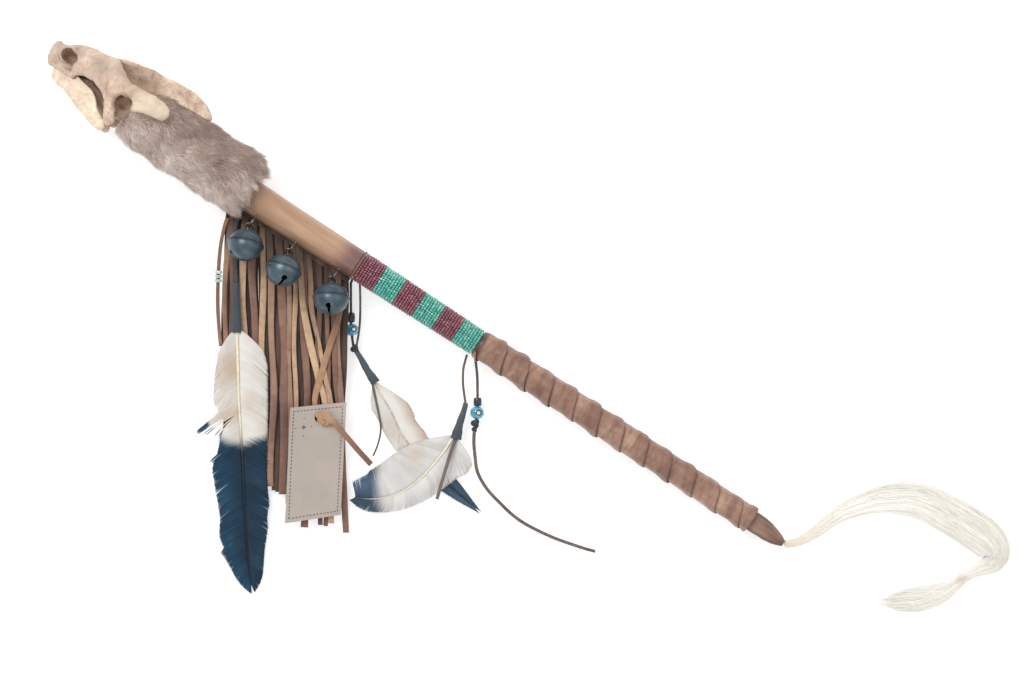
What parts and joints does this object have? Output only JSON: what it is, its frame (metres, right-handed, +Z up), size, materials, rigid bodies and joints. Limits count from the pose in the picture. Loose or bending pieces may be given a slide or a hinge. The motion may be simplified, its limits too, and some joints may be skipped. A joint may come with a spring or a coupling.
{
  "type": "rattle stick",
  "caption": "Wooden rattle stick with a turtle skull, fur sleeve, leather fringe, crotal bells, bead-wrapped bands, spiral leather grip, feather pendants and a horsehair tail.",
  "frame": {"origin": "on the table the stick lies on, under the middle of its bounding box", "axes": "+X along the stick from skull to horsehair, +Z up from the table, fringe and feathers towards -Y"},
  "size_m": [0.7058, 0.3034, 0.0662],
  "materials": {
    "wood": "semi-gloss varnish",
    "bone": "dry bone",
    "fur": "soft fur",
    "leather": "suede",
    "dark_leather": "smooth leather",
    "grip_leather": "worn leather",
    "cord": "waxed cord",
    "bell_paint": "satin",
    "steel": "bright wire",
    "burgundy_beads": "gloss",
    "turquoise_beads": "gloss",
    "black_beads": "gloss",
    "eye_glass": "gloss",
    "clear_glass": "clear",
    "feather": "soft vane",
    "quill": "horn",
    "card": "matt card",
    "hair": "loose hair"
  },
  "bodies": {
    "stick": {"staff": "wood", "cranium": "bone", "lower_jaw": "bone", "fur_sleeve": "fur", "collar": "dark_leather", "bead_backing": "dark_leather", "bead_band_1": "burgundy_beads", "bead_band_2": "turquoise_beads", "bead_band_3": "burgundy_beads", "bead_band_4": "turquoise_beads", "bead_band_5": "burgundy_beads", "bead_band_6": "turquoise_beads", "grip_wrap": "grip_leather", "fringe_header": "leather", "screw_eye_1": "steel", "screw_eye_2": "steel", "screw_eye_3": "steel", "tag_lace": "leather", "long_feather_cord": "cord"},
    "fringe_1": {"fringe_bundle_1": "leather"},
    "fringe_2": {"fringe_bundle_2": "leather"},
    "fringe_3": {"fringe_bundle_3": "leather"},
    "fringe_4": {"fringe_bundle_4": "leather"},
    "bell_1": {"bell_1_loop": "steel", "bell_1_upper_shell": "bell_paint", "bell_1_lower_shell": "bell_paint"},
    "pellet_1": {"bell_1_pellet": "steel"},
    "bell_2": {"bell_2_loop": "steel", "bell_2_upper_shell": "bell_paint", "bell_2_lower_shell": "bell_paint"},
    "pellet_2": {"bell_2_pellet": "steel"},
    "bell_3": {"bell_3_loop": "steel", "bell_3_upper_shell": "bell_paint", "bell_3_lower_shell": "bell_paint"},
    "pellet_3": {"bell_3_pellet": "steel"},
    "beaded_thong": {"beaded_thong": "leather"},
    "glass_bead": {"glass_bead": "clear_glass"},
    "long_feather": {"long_feather_sleeve": "cord", "long_feather_quill": "quill", "long_feather_vane": "feather"},
    "left_pendant": {"left_pendant_beaded_cord": "cord", "left_pendant_plain_cord": "cord", "left_pendant_knot": "cord"},
    "left_black_bead": {"left_pendant_black_bead": "black_beads"},
    "left_eye_bead": {"left_pendant_eye_bead": "eye_glass"},
    "left_feather": {"left_feather_sleeve": "cord", "left_feather_quill": "quill", "left_feather_vane": "feather", "left_feather_tail": "cord"},
    "right_pendant_leg": {"right_pendant_plain_cord": "cord"},
    "right_feather": {"right_feather_sleeve": "cord", "right_feather_quill": "quill", "right_feather_vane": "feather", "right_feather_tail": "cord"},
    "right_pendant_cord": {"right_pendant_beaded_cord": "cord", "right_pendant_knot": "cord"},
    "right_black_bead": {"right_pendant_black_bead": "black_beads"},
    "right_eye_bead": {"right_pendant_eye_bead": "eye_glass"},
    "tag": {"tag": "card"},
    "horsehair": {"horsehair": "hair"}
  },
  "joints": [
    {"name": "fringe_1_swing", "type": "hinge", "parent": "stick", "child": "fringe_1", "pos_m": [-0.18278, 0.04384, 0.02049], "axis": [0.9988, 0, -0.0486], "range_deg": [0, 25]},
    {"name": "fringe_2_swing", "type": "hinge", "parent": "stick", "child": "fringe_2", "pos_m": [-0.15981, 0.04384, 0.01937], "axis": [0.9988, 0, -0.0486], "range_deg": [0, 25]},
    {"name": "fringe_3_swing", "type": "hinge", "parent": "stick", "child": "fringe_3", "pos_m": [-0.13684, 0.04384, 0.01825], "axis": [0.9988, 0, -0.0486], "range_deg": [0, 25]},
    {"name": "fringe_4_swing", "type": "hinge", "parent": "stick", "child": "fringe_4", "pos_m": [-0.11386, 0.04384, 0.01713], "axis": [0.9988, 0, -0.0486], "range_deg": [0, 6]},
    {"name": "bell_1_swing", "type": "hinge", "parent": "stick", "child": "bell_1", "pos_m": [-0.18028, 0.04858, 0.03854], "axis": [-0.9601, -0.2756, 0.0468], "range_deg": [-5, 30]},
    {"name": "bell_1_pellet_roll", "type": "hinge", "parent": "bell_1", "child": "pellet_1", "pos_m": [-0.17677, 0.03652, 0.03947], "axis": [0.2785, -0.9576, 0.0737], "range_deg": [-60, 60]},
    {"name": "bell_2_swing", "type": "hinge", "parent": "stick", "child": "bell_2", "pos_m": [-0.14951, 0.04858, 0.03704], "axis": [-0.9601, -0.2756, 0.0468], "range_deg": [-5, 30]},
    {"name": "bell_2_pellet_roll", "type": "hinge", "parent": "bell_2", "child": "pellet_2", "pos_m": [-0.146, 0.03652, 0.03797], "axis": [0.2785, -0.9576, 0.0737], "range_deg": [-60, 60]},
    {"name": "bell_3_swing", "type": "hinge", "parent": "stick", "child": "bell_3", "pos_m": [-0.11665, 0.04858, 0.03544], "axis": [-0.865, -0.5, 0.0421], "range_deg": [-5, 30]},
    {"name": "bell_3_pellet_roll", "type": "hinge", "parent": "bell_3", "child": "pellet_3", "pos_m": [-0.11033, 0.03771, 0.03623], "axis": [0.5017, -0.8627, 0.0628], "range_deg": [-60, 60]},
    {"name": "beaded_thong_swing", "type": "hinge", "parent": "stick", "child": "beaded_thong", "pos_m": [-0.19461, 0.04158, 0.02365], "axis": [-0.8377, -0.5446, 0.0408], "range_deg": [0, 22]},
    {"name": "glass_bead_slide", "type": "slide", "parent": "beaded_thong", "child": "glass_bead", "axis": [0.4826, -0.8705, -0.0966], "range_m": [-0.002, 0.002]},
    {"name": "long_feather_swing", "type": "hinge", "parent": "stick", "child": "long_feather", "pos_m": [-0.16805, 0.01165, 0.02155], "axis": [-0.8377, -0.5446, 0.0408], "range_deg": [0, 30]},
    {"name": "left_pendant_swing", "type": "hinge", "parent": "stick", "child": "left_pendant", "pos_m": [-0.1032, 0.05449, 0.01731], "axis": [-0.8377, -0.5446, 0.0408], "range_deg": [-40, 0]},
    {"name": "left_black_bead_spin", "type": "hinge", "parent": "left_pendant", "child": "left_black_bead", "pos_m": [-0.09357, 0.03342, 0.00515], "axis": [0.5231, -0.8011, -0.2909], "continuous": true},
    {"name": "left_eye_bead_spin", "type": "hinge", "parent": "left_pendant", "child": "left_eye_bead", "pos_m": [-0.0889, 0.02681, 0.00445], "axis": [0.6096, -0.7922, 0.0282], "continuous": true},
    {"name": "left_feather_swing", "type": "hinge", "parent": "left_pendant", "child": "left_feather", "pos_m": [-0.07745, 0.01606, 0.00355], "axis": [-0.8377, -0.5446, 0.0408], "range_deg": [-30, 0]},
    {"name": "right_pendant_leg_swing", "type": "hinge", "parent": "stick", "child": "right_pendant_leg", "pos_m": [-0.01575, 0.05326, 0.01455], "axis": [-0.8377, -0.5446, 0.0408], "range_deg": [0, 25]},
    {"name": "right_feather_swing", "type": "hinge", "parent": "right_pendant_leg", "child": "right_feather", "pos_m": [0.00085, 0.02717, 0.00715], "axis": [-0.8377, -0.5446, 0.0408], "range_deg": [0, 40]},
    {"name": "right_pendant_cord_swing", "type": "hinge", "parent": "stick", "child": "right_pendant_cord", "pos_m": [-0.00953, 0.05446, 0.01365], "axis": [-0.8377, -0.5446, 0.0408], "range_deg": [-20, 20]},
    {"name": "right_black_bead_spin", "type": "hinge", "parent": "right_pendant_cord", "child": "right_black_bead", "pos_m": [0.00733, 0.031, 0.00484], "axis": [0.543, -0.8397, 0.0047], "continuous": true},
    {"name": "right_eye_bead_spin", "type": "hinge", "parent": "right_pendant_cord", "child": "right_eye_bead", "pos_m": [0.0107, 0.02478, 0.00487], "axis": [0.4248, -0.9053, 0.0041], "continuous": true},
    {"name": "tag_swing", "type": "hinge", "parent": "stick", "child": "tag", "pos_m": [-0.07504, -0.03254, 0.01416], "axis": [0.0485, -0.0872, 0.995], "range_deg": [-8, 8]},
    {"name": "horsehair_swing", "type": "hinge", "parent": "stick", "child": "horsehair", "pos_m": [0.22611, 0.06426, 0.00778], "axis": [0.0486, 0, 0.9988], "range_deg": [-20, 20]}
  ]
}
